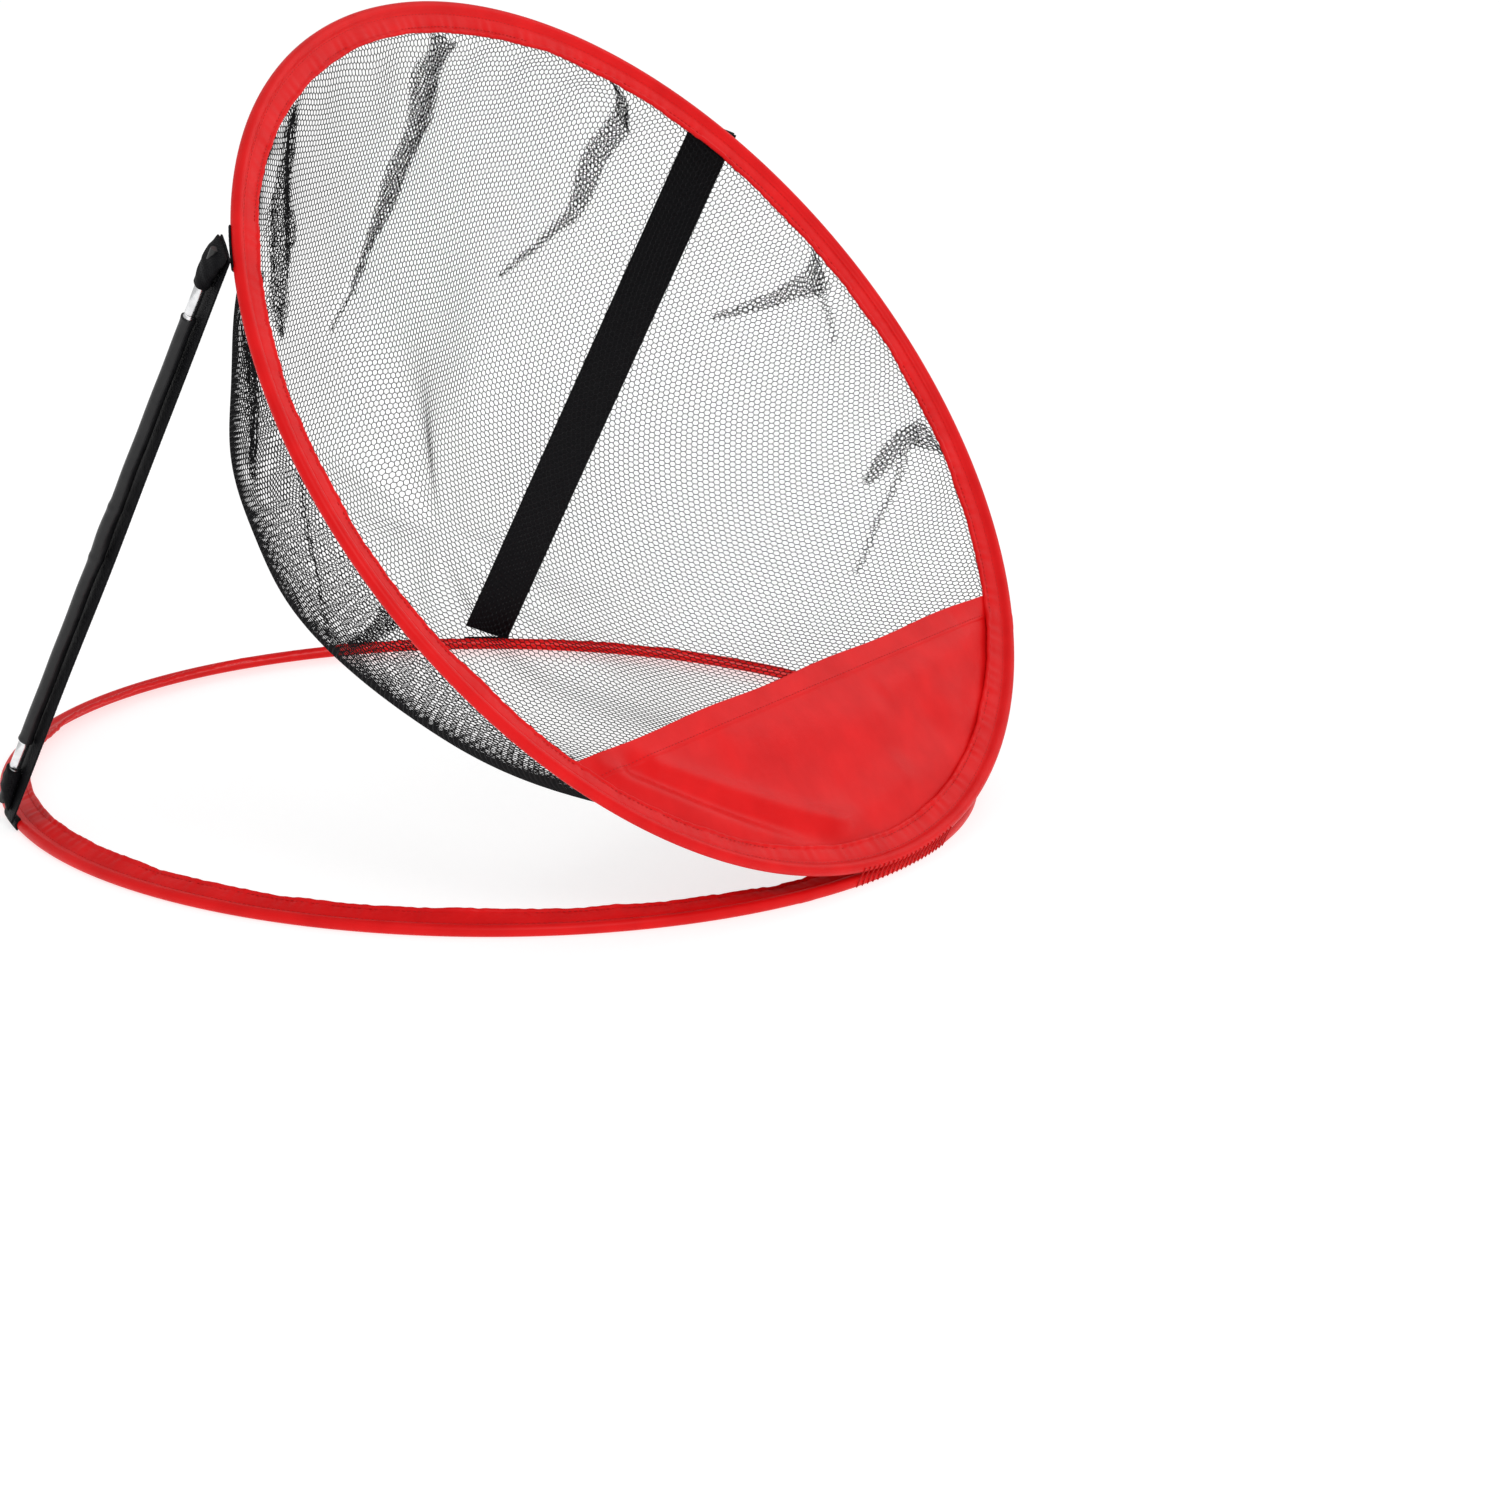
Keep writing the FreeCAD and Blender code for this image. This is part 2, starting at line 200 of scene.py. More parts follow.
def closed_sweep(sections):
    """Points and quads of a body whose closed sections follow each other, with its two ends drawn in."""
    sections = np.asarray(sections, float)
    first = sections[0].mean(0)
    last = sections[-1].mean(0)
    start = np.broadcast_to(first, sections[0].shape)[None]
    finish = np.broadcast_to(last, sections[-1].shape)[None]
    near_start = (sections[0] * 0.5 + first * 0.5)[None]
    near_finish = (sections[-1] * 0.5 + last * 0.5)[None]
    whole = np.concatenate([start, near_start, sections, near_finish, finish])
    rows, columns = whole.shape[:2]
    return whole.reshape(-1, 3), grid_faces(rows, columns, wrap_columns=True)


def smooth_step(value):
    value = np.clip(value, 0, 1)
    return value * value * (3 - 2 * value)


def repeated(template_points, template_faces, origins, axes):
    """Copies of a small template, each at an origin with its own three axes."""
    points = origins[:, None, :] + np.einsum("pk,nkd->npd", template_points, axes)
    offset = np.arange(len(origins))[:, None, None] * len(template_points)
    return points.reshape(-1, 3), (template_faces[None] + offset).reshape(-1, 4)


def joined(parts):
    """Points and faces of several bodies as one."""
    starts = np.cumsum([0] + [len(points) for points, _ in parts])
    faces = [quads + start for (_, quads), start in zip(parts, starts)]
    return np.concatenate([points for points, _ in parts]), np.concatenate(faces)


# ---- materials ----


def new_material(name, roughness, colour, metallic=0.0, specular=0.5):
    material = bpy.data.materials.new(name)
    material.use_nodes = True
    nodes = material.node_tree.nodes
    shader = nodes["Principled BSDF"]
    shader.inputs["Base Color"].default_value = (*colour, 1)
    shader.inputs["Roughness"].default_value = roughness
    shader.inputs["Metallic"].default_value = metallic
    shader.inputs["Specular IOR Level"].default_value = specular
    return material, shader


def add_node(material, kind, **inputs):
    node = material.node_tree.nodes.new(kind)
    for name, value in inputs.items():
        node.inputs[name.replace("_", " ")].default_value = value
    return node


def link(material, source, target):
    material.node_tree.links.new(source, target)


def object_coordinates(material):
    return add_node(material, "ShaderNodeTexCoord").outputs["Object"]


def varied_colour(material, shader, dark, light, scale, detail=3.0):
    """Base colour that drifts between two close tones."""
    noise = add_node(material, "ShaderNodeTexNoise", Scale=scale, Detail=detail)
    link(material, object_coordinates(material), noise.inputs["Vector"])
    ramp = add_node(material, "ShaderNodeValToRGB")
    for element, position, tone in zip(ramp.color_ramp.elements, (0.3, 0.7), (dark, light)):
        element.position = position
        element.color = (*tone, 1)
    link(material, noise.outputs["Fac"], ramp.inputs["Fac"])
    link(material, ramp.outputs["Color"], shader.inputs["Base Color"])


def woven_bump(material, shader, thread, strength, distance, crumple_scale=60.0, crumple=0.5):
    """Bump of crossing threads, with a slow crumple under it."""
    place = object_coordinates(material)
    bands = []
    for direction in ("X", "Y", "Z"):
        wave = add_node(material, "ShaderNodeTexWave", Scale=0.314 / thread, Distortion=0.6)
        wave.bands_direction = direction
        link(material, place, wave.inputs["Vector"])
        bands.append(wave)
    first = add_node(material, "ShaderNodeMath")
    first.operation = "ADD"
    link(material, bands[0].outputs["Fac"], first.inputs[0])
    link(material, bands[1].outputs["Fac"], first.inputs[1])
    both = add_node(material, "ShaderNodeMath")
    both.operation = "ADD"
    link(material, first.outputs[0], both.inputs[0])
    link(material, bands[2].outputs["Fac"], both.inputs[1])
    weave = add_node(material, "ShaderNodeBump", Strength=strength, Distance=distance)
    link(material, both.outputs[0], weave.inputs["Height"])
    noise = add_node(material, "ShaderNodeTexNoise", Scale=crumple_scale, Detail=4.0)
    link(material, place, noise.inputs["Vector"])
    slow = add_node(material, "ShaderNodeBump", Strength=crumple, Distance=0.6 * MM)
    link(material, noise.outputs["Fac"], slow.inputs["Height"])
    link(material, weave.outputs["Normal"], slow.inputs["Normal"])
    link(material, slow.outputs["Normal"], shader.inputs["Normal"])


def red_nylon():
    material, shader = new_material("red_nylon", 0.42, (0.72, 0.006, 0.007), specular=0.14)
    varied_colour(material, shader, (0.66, 0.004, 0.005), (0.78, 0.008, 0.009), 45.0)
    woven_bump(material, shader, 0.55 * MM, 0.25, 0.05 * MM)
    return material


def red_thread():
    material, shader = new_material("red_thread", 0.6, (0.50, 0.008, 0.008), specular=0.2)
    varied_colour(material, shader, (0.45, 0.006, 0.006), (0.58, 0.010, 0.010), 900.0)
    return material


def black_mesh():
    material, shader = new_material("black_mesh", 0.7, (0.004, 0.004, 0.005), specular=0.1)
    varied_colour(material, shader, (0.002, 0.002, 0.003), (0.006, 0.006, 0.007), 300.0)
    return material


def black_webbing():
    material, shader = new_material("black_webbing", 0.6, (0.004, 0.004, 0.005), specular=0.1)
    varied_colour(material, shader, (0.002, 0.002, 0.003), (0.005, 0.005, 0.006), 500.0)
    woven_bump(material, shader, 1.1 * MM, 0.5, 0.15 * MM, crumple_scale=120.0)
    return material


def black_cloth():
    material, shader = new_material("black_cloth", 0.38, (0.006, 0.006, 0.007), specular=0.4)
    varied_colour(material, shader, (0.004, 0.004, 0.005), (0.009, 0.009, 0.010), 200.0)
    woven_bump(material, shader, 0.6 * MM, 0.35, 0.08 * MM, crumple_scale=150.0)
    return material


def bright_metal():
    material, shader = new_material("ferrule_metal", 0.24, (0.80, 0.81, 0.82), metallic=1.0)
    varied_colour(material, shader, (0.70, 0.71, 0.72), (0.88, 0.88, 0.89), 250.0)
    scratches = add_node(material, "ShaderNodeTexNoise", Scale=900.0, Detail=4.0)
    link(material, object_coordinates(material), scratches.inputs["Vector"])
    bump = add_node(material, "ShaderNodeBump", Strength=0.15, Distance=0.05 * MM)
    link(material, scratches.outputs["Fac"], bump.inputs["Height"])
    link(material, bump.outputs["Normal"], shader.inputs["Normal"])
    return material


def spring_steel():
    material, shader = new_material("spring_steel", 0.3, (0.45, 0.45, 0.47), metallic=1.0)
    varied_colour(material, shader, (0.38, 0.38, 0.40), (0.52, 0.52, 0.54), 120.0)
    return material


def black_plastic():
    material, shader = new_material("black_plastic", 0.38, (0.016, 0.016, 0.016))
    varied_colour(material, shader, (0.012, 0.012, 0.012), (0.022, 0.022, 0.022), 80.0)
    return material


def pale_floor():
    material, shader = new_material("pale_floor", 0.9, (0.40, 0.40, 0.40))
    shader.inputs["Emission Color"].default_value = (1, 1, 1, 1)
    shader.inputs["Emission Strength"].default_value = 0.72
    return material


RED = red_nylon()
THREAD = red_thread()
MESH = black_mesh()
WEBBING = black_webbing()
CLOTH = black_cloth()
METAL = bright_metal()
STEEL = spring_steel()
PLASTIC = black_plastic()


# ---- the hoops' sleeves ----

CHANNEL_RADIUS = 3.05 * MM
SLEEVE_REACH = 13.9 * MM
FLANGE_START = 2 * MM
PIPING_RADIUS = 1.15 * MM
PIPING_PLACE = SLEEVE_REACH - PIPING_RADIUS
SECTIONS_AROUND = 1500

# The sleeve's ends lap: the lap's width, the lengths over which it swells and sinks, and its bulge.
LAP_WIDTH = 11 * MM
LAP_START = 0.6 * MM
LAP_END = 4 * MM
LAP_BULGE = 0.25 * MM


def sleeve_profile():
    """The sleeve's section, as (distance in from the wire, height): channel, flange and piped edge."""
    channel = np.radians(np.linspace(24, 336, 18))
    round_part = np.stack([CHANNEL_RADIUS * np.cos(channel), CHANNEL_RADIUS * np.sin(channel)], 1)
    lower_points = [(3.9, -0.42), (4.8, -0.72), (6.2, -0.8), (8.2, -0.8), (10.2, -0.72), (11.2, -0.45)]
    flat_lower = np.array(lower_points) * MM
    piping = np.radians(np.linspace(-140, 140, 9))
    edge = np.stack([PIPING_PLACE + PIPING_RADIUS * np.cos(piping), PIPING_RADIUS * np.sin(piping)], 1)
    flat_upper = flat_lower[::-1] * np.array([1, -1])
    return np.concatenate([round_part, flat_lower, edge, flat_upper])


def waves(bearing, counts, sizes, generator):
    """A sum of waves round the hoop, which closes on itself."""
    total = np.zeros_like(bearing)
    for count, size in zip(counts, sizes):
        total += size * np.sin(count * bearing + generator.uniform(0, 2 * math.pi))
    return total


def sewn_sleeve(name, ring, rise_at, seam_bearing, lap_sign, node, generator):
    """A hoop's cloth sleeve: its flange sways and puckers, and its ends lap at the seam."""
    profile = sleeve_profile()
    bearing = np.linspace(0, 2 * math.pi, SECTIONS_AROUND, endpoint=False)
    rise = rise_at(bearing)
    share = smooth_step((profile[:, 0] - FLANGE_START) / (SLEEVE_REACH - FLANGE_START))
    sway = waves(bearing, (7, 13, 23, 41), (0.35, 0.3, 0.25, 0.2), generator) * MM
    pucker = waves(bearing, (97, 149, 211, 263), (0.09, 0.1, 0.1, 0.08), generator) * MM
    width = 1 + waves(bearing, (11, 29, 61), (0.012, 0.010, 0.008), generator)
    lap = ((bearing - seam_bearing) * lap_sign) % (2 * math.pi)
    lap_rise = smooth_step(lap / (LAP_START / wire_ring_radius))
    lap_fall = smooth_step((LAP_WIDTH / wire_ring_radius - lap) / (LAP_END / wire_ring_radius))
    swell = lap_rise * lap_fall
    inward = profile[None, :, 0] * np.where(profile[None, :, 0] > 0, width[:, None], 1)
    height = profile[None, :, 1] * (1 + 0.35 * swell[:, None] * (share[None] > 0.02))
    height = height + share[None] * sway[:, None]
    height = height + 4 * share[None] * (1 - share[None] * 0.6) * pucker[:, None] * 0.6
    inward = inward + np.where(profile[None, :, 0] < 0, -LAP_BULGE, 0) * swell[:, None]
    cos, sin = np.cos(rise)[:, None], np.sin(rise)[:, None]
    inward, height = inward * cos - height * sin, inward * sin + height * cos
    points = ring.at(wire_ring_radius - inward, bearing[:, None], height)
    if ring is base_ring:
        points[..., 2] = np.maximum(points[..., 2], 0.0)
    faces = grid_faces(SECTIONS_AROUND, len(profile), wrap_rows=True, wrap_columns=True)
    piece = new_object(name, points, faces, RED)
    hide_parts(node)
    return piece


BASE_RISE = math.radians(25)
FRONT_RISE = math.radians(11)
TOP_RISE = math.radians(-8)


def base_rise(bearing):
    """The base sleeve's flange stands up, less so where the top hoop is sewn to it."""
    from_front = np.abs((bearing + math.pi / 2 + math.pi) % (2 * math.pi) - math.pi)
    blend = smooth_step((from_front - math.radians(14)) / math.radians(30))
    return FRONT_RISE + (BASE_RISE - FRONT_RISE) * blend


def top_rise(bearing):
    return np.full_like(bearing, TOP_RISE)


TOP_SEAM = math.radians(-40)
BASE_SEAM = math.radians(-108)

base_sleeve = sewn_sleeve(
    "base_sleeve", base_ring, base_rise, BASE_SEAM, 1, "base_hoop_sleeve", np.random.default_rng(11)
)
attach(base_sleeve, "base")
top_sleeve = sewn_sleeve(
    "top_sleeve", top_ring, top_rise, TOP_SEAM, -1, "top_hoop_sleeve", np.random.default_rng(12)
)
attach(top_sleeve, "hoop")


# ---- stitches ----

STITCH_PITCH = 2.6 * MM
STITCH_LENGTH = STITCH_PITCH * 0.62
STITCH_WIDTH = 0.42 * MM

# Rows of stitches on a sleeve, as distance in from the wire and height of the cloth there.
CHANNEL_ROW = (4.0 * MM, 0.42 * MM)
EDGE_ROW = (11.0 * MM, 0.52 * MM)


def stitch_template(length, width, height):
    """A short rounded stitch along the first axis, half sunk in the cloth."""
    along = np.array([-0.5, -0.38, 0, 0.38, 0.5]) * length
    size = np.array([0.25, 0.85, 1, 0.85, 0.25])
    turn = np.radians(np.arange(0, 360, 60))
    points = []
    for x, s in zip(along, size):
        for a in turn:
            points.append((x, math.cos(a) * width / 2 * s, math.sin(a) * height / 2 * s))
    return closed_sweep(np.array(points).reshape(len(along), len(turn), 3))


def ring_stitches(name, ring, rise_at, row, body):
    """A row of stitches round a sleeve, on both of its faces."""
    inward, height = row
    radius = wire_ring_radius - inward
    count = int(2 * math.pi * radius / STITCH_PITCH)
    bearing = np.arange(count) * 2 * math.pi / count
    rise = rise_at(bearing)
    template, faces = stitch_template(STITCH_LENGTH, STITCH_WIDTH, 0.36 * MM)
    parts = []
    for side in (1, -1):
        lift = side * height
        place = ring.at(
            wire_ring_radius - (inward * np.cos(rise) - lift * np.sin(rise)),
            bearing,
            inward * np.sin(rise) + lift * np.cos(rise),
        )
        tangent = ring.at(1, bearing + math.pi / 2, 0) - ring.centre
        radial = ring.at(1, bearing, 0) - ring.centre
        up = ring.normal[None] * np.cos(rise)[:, None] + radial * np.sin(rise)[:, None]
        axes = np.stack([tangent, np.cross(up, tangent), up], 1)
        parts.append(repeated(template, faces, place, axes))
    points, quads = joined(parts)
    piece = new_object(name, points, quads, THREAD)
    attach(piece, body)


ring_stitches("base_sleeve_stitches", base_ring, base_rise, CHANNEL_ROW, "base")
ring_stitches("top_sleeve_stitches", top_ring, top_rise, CHANNEL_ROW, "hoop")
ring_stitches("top_edge_stitches", top_ring, top_rise, EDGE_ROW, "hoop")
ring_stitches("base_edge_stitches", base_ring, base_rise, EDGE_ROW, "base")


# ---- the net pocket ----

POCKET_DEPTH = 140 * MM
POCKET_RADIUS = 232.5 * MM

# The pocket drifts up the slope as it deepens: this far, at this depth.
POCKET_DRIFT = 21 * MM
DRIFT_DEPTH = 132 * MM

# The net starts under the sleeve, at this depth. Its first stretch, this long, comes in this far.
RIM_DEPTH = 3.8 * MM
RIM_RUN = 9 * MM
RIM_REACH = 8.5 * MM

# How full the pocket is at its back, sides and front. Its depth is (1 - radius ** first) ** second,
# and it is rounded near the middle, where that would leave a point.
FULLNESS = np.array([(1.3, 1.05), (6.1, 0.44), (2.4, 1.1)])
ROUNDED_MIDDLE = 0.12

MERIDIANS = 361
MERIDIAN_POINTS = 400
MERIDIAN_STEPS = 300
RADIUS_SPACING = 0.64

# The net's cells, across their flats, and the radius of its strands.
CELL = 3.25 * MM
STRAND = 0.25 * MM
TUCK_CELL = 3.0 * MM
TUCK_STRAND = 0.24 * MM
TUCK_HEIGHT = 2.5 * MM
CREASE_HEIGHT = 8.0 * MM

# A point inside the pocket, which the net's inner face looks towards.
POCKET_FOCUS = top_ring.centre - 40 * MM * mouth_normal


def hollow(share, bearing):
    """Depth of the pocket as a share of its deepest, at this share of its radius and this bearing."""
    back = ((1 + np.sin(bearing)) / 2) ** 2
    front = ((1 - np.sin(bearing)) / 2) ** 2
    first, second = (np.stack([back, 1 - back - front, front], -1) @ FULLNESS).T
    least = ROUNDED_MIDDLE**first
    widening = ((share**2 + ROUNDED_MIDDLE**2) ** (first / 2) - least) / (
        (1 + ROUNDED_MIDDLE**2) ** (first / 2) - least
    )
    return np.clip(1 - widening, 0, 1) ** second


def meridians():
    """How the net runs down the pocket at each bearing: its length, and its radius on the way."""
    bearing = np.linspace(-math.pi, math.pi, MERIDIANS)
    share = np.cos(np.linspace(0, math.pi / 2, MERIDIAN_POINTS)) ** RADIUS_SPACING
    share[-1] = 0
    radius = POCKET_RADIUS * share
    step = np.linspace(0, 1, MERIDIAN_STEPS)
    lengths = []
    radii = []
    for angle in bearing:
        depth = POCKET_DEPTH * hollow(share, np.full_like(share, angle))
        run = RIM_RUN + np.concatenate([[0], np.cumsum(np.hypot(np.diff(radius), np.diff(depth)))])
        lengths.append(run[-1])
        radii.append(np.interp(step * run[-1], run, radius))
    return bearing, np.array(lengths), np.array(radii)


MERIDIAN_BEARINGS, MERIDIAN_LENGTHS, MERIDIAN_RADII = meridians()


def net_length(bearing):
    """Length of net from the rim to the deepest point."""
    turn = (bearing + math.pi) % (2 * math.pi) - math.pi
    return np.interp(turn, MERIDIAN_BEARINGS, MERIDIAN_LENGTHS)


def pocket_radius(bearing, run):
    """Radius of the pocket where the net has run this far from the rim, read between the meridians."""
    turn = (bearing + math.pi) % (2 * math.pi)
    row = turn / (2 * math.pi) * (len(MERIDIAN_BEARINGS) - 1)
    column = np.clip(run / net_length(bearing), 0, 1) * (MERIDIAN_RADII.shape[1] - 1)
    row, column = np.broadcast_arrays(row, column)
    first_row = np.minimum(row.astype(int), MERIDIAN_RADII.shape[0] - 2)
    first_column = np.minimum(column.astype(int), MERIDIAN_RADII.shape[1] - 2)
    part_row = row - first_row
    part_column = column - first_column
    near = MERIDIAN_RADII[first_row, first_column] * (1 - part_column)
    near = near + MERIDIAN_RADII[first_row, first_column + 1] * part_column
    far = MERIDIAN_RADII[first_row + 1, first_column] * (1 - part_column)
    far = far + MERIDIAN_RADII[first_row + 1, first_column + 1] * part_column
    return near * (1 - part_row) + far * part_row


# Tucks gathered from the rim. Each is a line of (bearing in degrees, run from the rim and half-width
# in millimetres).
TUCKS = [
    [(81, 7, 11), (84, 44, 11), (88, 70, 9), (93, 95, 7), (100, 119, 4), (107, 135, 1)],
    [(116, 7, 6), (120, 29, 12), (123, 52, 15), (126, 77, 14), (128, 109, 7), (130, 128, 2)],
    [(50, 7, 9), (48, 20, 9), (47, 45, 9), (46, 64, 7), (45, 81, 5), (47, 105, 2), (52, 132, 0.8)],
    [(14, 7, 12), (13, 18, 9), (13, 30, 6), (13, 41, 4), (16, 75, 1)],
    [(-13, 6, 13), (-12, 20, 9), (-14, 38, 5), (-16, 53, 1.5)],
    [(146, 8, 9), (150, 36, 10), (158, 49, 8), (167, 76, 3)],
    [(191, 8, 9), (192, 32, 5), (193, 82, 1)],
    [(222, 9, 5), (212, 11, 6), (203, 9, 3)],
    [(-50, 8, 9), (-48, 40, 5), (-46, 80, 1)],
    [(-80, 8, 8), (-82, 35, 5), (-84, 70, 1)],
    [(-112, 8, 9), (-109, 40, 4), (-106, 75, 1)],
]

# Sharp creases, as the same kind of line.
CREASES = [
    [(15, 8, 1.2), (4, 30, 0.8)],
    [(-14, 26, 1.6), (-22, 53, 1.6), (-30, 72, 0.7)],
    [(166, 8, 1.5), (168, 20, 1.5), (176, 39, 1.5), (183, 60, 1.4), (191, 99, 1)],
    [(107, 135, 1.2), (115, 151, 0.7)],
]


def unit_rows(vectors):
    return vectors / np.linalg.norm(vectors, axis=-1, keepdims=True)


def turn_between(a, b):
    """The turn from bearing b to bearing a, by the shorter way."""
    return (a - b + math.pi) % (2 * math.pi) - math.pi


def inward_from(point):
    """Direction from points of the net towards the inside of the pocket."""
    return unit_rows(POCKET_FOCUS - point)


def bowl_at(bearing, run, lift=0.0):
    """A point of the smooth pocket: bearing, length of net from the rim, and height towards the inside."""
    under_sleeve = RIM_REACH * np.clip(1 - run / RIM_RUN, 0, 1)
    radius = pocket_radius(bearing, run)
    depth = RIM_DEPTH + (POCKET_DEPTH - RIM_DEPTH) * hollow(radius / POCKET_RADIUS, bearing)
    drift = POCKET_DRIFT * (depth / DRIFT_DEPTH) ** 1.2
    point = top_ring.at(radius + under_sleeve, bearing, -depth) + drift[..., None] * up_slope
    return point + np.asarray(lift)[..., None] * inward_from(point)


def line_points(line, steps=14):
    """A tuck's line resampled: bearings in radians, runs and half-widths in metres."""
    table = np.array(line, float)
    at = np.linspace(0, len(table) - 1, steps)
    place = np.arange(len(table))
    bearing, run, half = (np.interp(at, place, table[:, i]) for i in range(3))
    return np.radians(bearing), run * MM, half * MM


def line_ridge(bearing, run, line):
    """How near points are to a tuck's line: one on it, fading to none over its half-width."""
    best = np.zeros_like(run)
    radius = pocket_radius(bearing, run)
    bearings, runs, halves = line_points(line)
    for line_bearing, line_run, half in zip(bearings, runs, halves):
        across = turn_between(bearing, line_bearing) * radius
        distance = np.hypot(across, (run - line_run) * 0.8)
        near = distance < 5 * half + 6 * MM
        reach = half + 1.5 * MM
        ridge = np.exp(-((distance[near] / reach) ** 2)) * min(1, half / (9 * MM))
        best[near] = np.maximum(best[near], ridge)
    return best


def folds(bearing, run):
    """How far the net stands in from the smooth pocket: tucks, creases and a soft billow between them."""
    fade = smooth_step((run - RIM_RUN) / (14 * MM)) * smooth_step((net_length(bearing) - run) / (60 * MM))
    height = 2.2 * MM * np.sin(3 * bearing + 0.8) * np.sin(run / (70 * MM)) * fade
    height += 1.7 * MM * np.sin(5 * bearing - run / (38 * MM)) * fade
    height += 0.9 * MM * np.sin(11 * bearing + run / (21 * MM)) * fade
    near_rim = smooth_step((60 * MM - run) / (50 * MM))
    gathers = 1.1 * MM * np.sin(34 * bearing + 2 * np.sin(5 * bearing)) * near_rim
    height += gathers * smooth_step((run - RIM_RUN) / (10 * MM))
    rise = smooth_step((run - 4 * MM) / (10 * MM))
    for line in TUCKS:
        height += TUCK_HEIGHT * rise * line_ridge(bearing, run, line)
    for line in CREASES:
        height += CREASE_HEIGHT * rise * line_ridge(bearing, run, line)
    return height


def net_at(bearing, run, lift=0.0):
    """A point of the folded net, raised a little further towards the inside."""
    return bowl_at(bearing, run, folds(bearing, run) + lift)


def hexagon_edges(half_width, half_height, turned=0.0, cell=CELL):
    """Edges of a hexagonal net over a flat rectangle: three of each cell's six, as two arrays of points."""
    side = cell / math.sqrt(3)
    reach = math.hypot(half_width, half_height)
    columns = int(reach / cell) + 2
    rows = int(reach / (1.5 * side)) + 2
    i, j = np.meshgrid(np.arange(-columns, columns + 1), np.arange(-rows, rows + 1), indexing="ij")
    x = (i + 0.5 * (j % 2)) * cell
    y = j * 1.5 * side
    centre = np.stack([x.ravel(), y.ravel()], 1)
    angles = np.radians([30, 90, 150, 210])
    corner = [centre + side * np.array([math.cos(a), math.sin(a)]) for a in angles]
    starts = np.concatenate([corner[0], corner[1], corner[2]])
    ends = np.concatenate([corner[1], corner[2], corner[3]])
    cos, sin = math.cos(turned), math.sin(turned)
    spin = np.array([[cos, sin], [-sin, cos]])
    starts, ends = starts @ spin, ends @ spin
    mid = (starts + ends) / 2
    inside = (np.abs(mid[:, 0]) < half_width) & (np.abs(mid[:, 1]) < half_height)
    return starts[inside], ends[inside]


def strands(starts, ends, outward, radius):
    """Three-sided strands along edges in space."""
    along = unit_rows(ends - starts)
    side = unit_rows(np.cross(along, outward))
    up = np.cross(side, along)
    extend = along * radius * 0.6
    points = []
    for place in (starts - extend, ends + extend):
        for angle in (90, 210, 330):
            a = math.radians(angle)
            points.append(place + radius * (math.cos(a) * side + math.sin(a) * up))
    points = np.stack(points, 1)
    pattern = np.array([(0, 1, 4, 3), (1, 2, 5, 4), (2, 0, 3, 5)])
    faces = pattern[None] + np.arange(len(starts))[:, None, None] * 6
    return points.reshape(-1, 3), faces.reshape(-1, 4)


def net_sector(name, starts, ends):
    """Strands over the pocket, from points of the flat net round its deepest point."""
    placed = []
    for flat in (starts, ends):
        distance = np.hypot(flat[:, 0], flat[:, 1])
        bearing = np.arctan2(flat[:, 1], flat[:, 0])
        placed.append(net_at(bearing, np.maximum(net_length(bearing) - distance, 0)))
    points, faces = strands(placed[0], placed[1], inward_from(placed[0]), STRAND)
    return new_object(name, points, faces, MESH, smooth=False)


def gather(piece):
    """Net that rides the top hoop, on its own copy of its mesh."""
    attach(piece, "hoop")
    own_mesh(piece)


def build_net():
    """The pocket's net in four quarters, cut from a flat sheet whose middle is the deepest point."""
    reach = MERIDIAN_LENGTHS.max()
    starts, ends = hexagon_edges(reach, reach)
    mid = (starts + ends) / 2
    mid_bearing = np.arctan2(mid[:, 1], mid[:, 0])
    inside = np.hypot(mid[:, 0], mid[:, 1]) < net_length(mid_bearing) - 0.5 * MM
    starts, ends = starts[inside], ends[inside]
    quarter = np.floor(mid_bearing[inside] / (math.pi / 2)).astype(int) % 4
    for number in range(4):
        chosen = quarter == number
        piece = net_sector("net_quarter_%d" % (number + 1), starts[chosen], ends[chosen])
        gather(piece)
        if number == 0:
            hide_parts("net_pocket")


def tuck_layer(line, layer, generator):
    """One folded layer of net along a tuck's line, lying inside the pocket's wall."""
    bearings, runs, halves = line_points(line, 40)
    steps = np.hypot(np.diff(bearings) * pocket_radius(bearings, runs)[:-1], np.diff(runs))
    length = np.concatenate([[0], np.cumsum(steps)])
    starts, ends = hexagon_edges(halves.max() * 1.6, length[-1], generator.uniform(0, math.pi), TUCK_CELL)
    mid = (starts + ends) / 2
    ragged = 1 + 0.3 * np.sin(mid[:, 1] / (9 * MM) + generator.uniform(0, 6) + np.sign(mid[:, 0]))
    half = np.interp(mid[:, 1], length, halves) * ragged * (1.1 - 0.15 * layer) + 0.6 * MM
    inside = (mid[:, 1] > 0) & (mid[:, 1] < length[-1]) & (np.abs(mid[:, 0]) < half)
    placed = []
    wobble = generator.uniform(0, 6)
    slope = np.gradient(runs, length)
    for flat in (starts[inside], ends[inside]):
        along = np.clip(flat[:, 1], 0, length[-1])
        run = np.interp(along, length, runs)
        bearing = np.interp(along, length, bearings)
        rise = np.interp(along, length, slope)
        turn = np.sqrt(np.clip(1 - rise**2, 0, 1)) * np.sign(bearings[-1] - bearings[0])
        run = run - flat[:, 0] * turn
        bearing = bearing + flat[:, 0] * rise / (pocket_radius(bearing, run) + 1 * MM)
        lift = 1.0 * MM * layer + 0.7 * MM * np.sin(flat[:, 0] / (2.6 * MM) + flat[:, 1] / (17 * MM) + wobble)
        placed.append(net_at(bearing, np.maximum(run, 3 * MM), lift))
    return strands(placed[0], placed[1], inward_from(placed[0]), TUCK_STRAND)


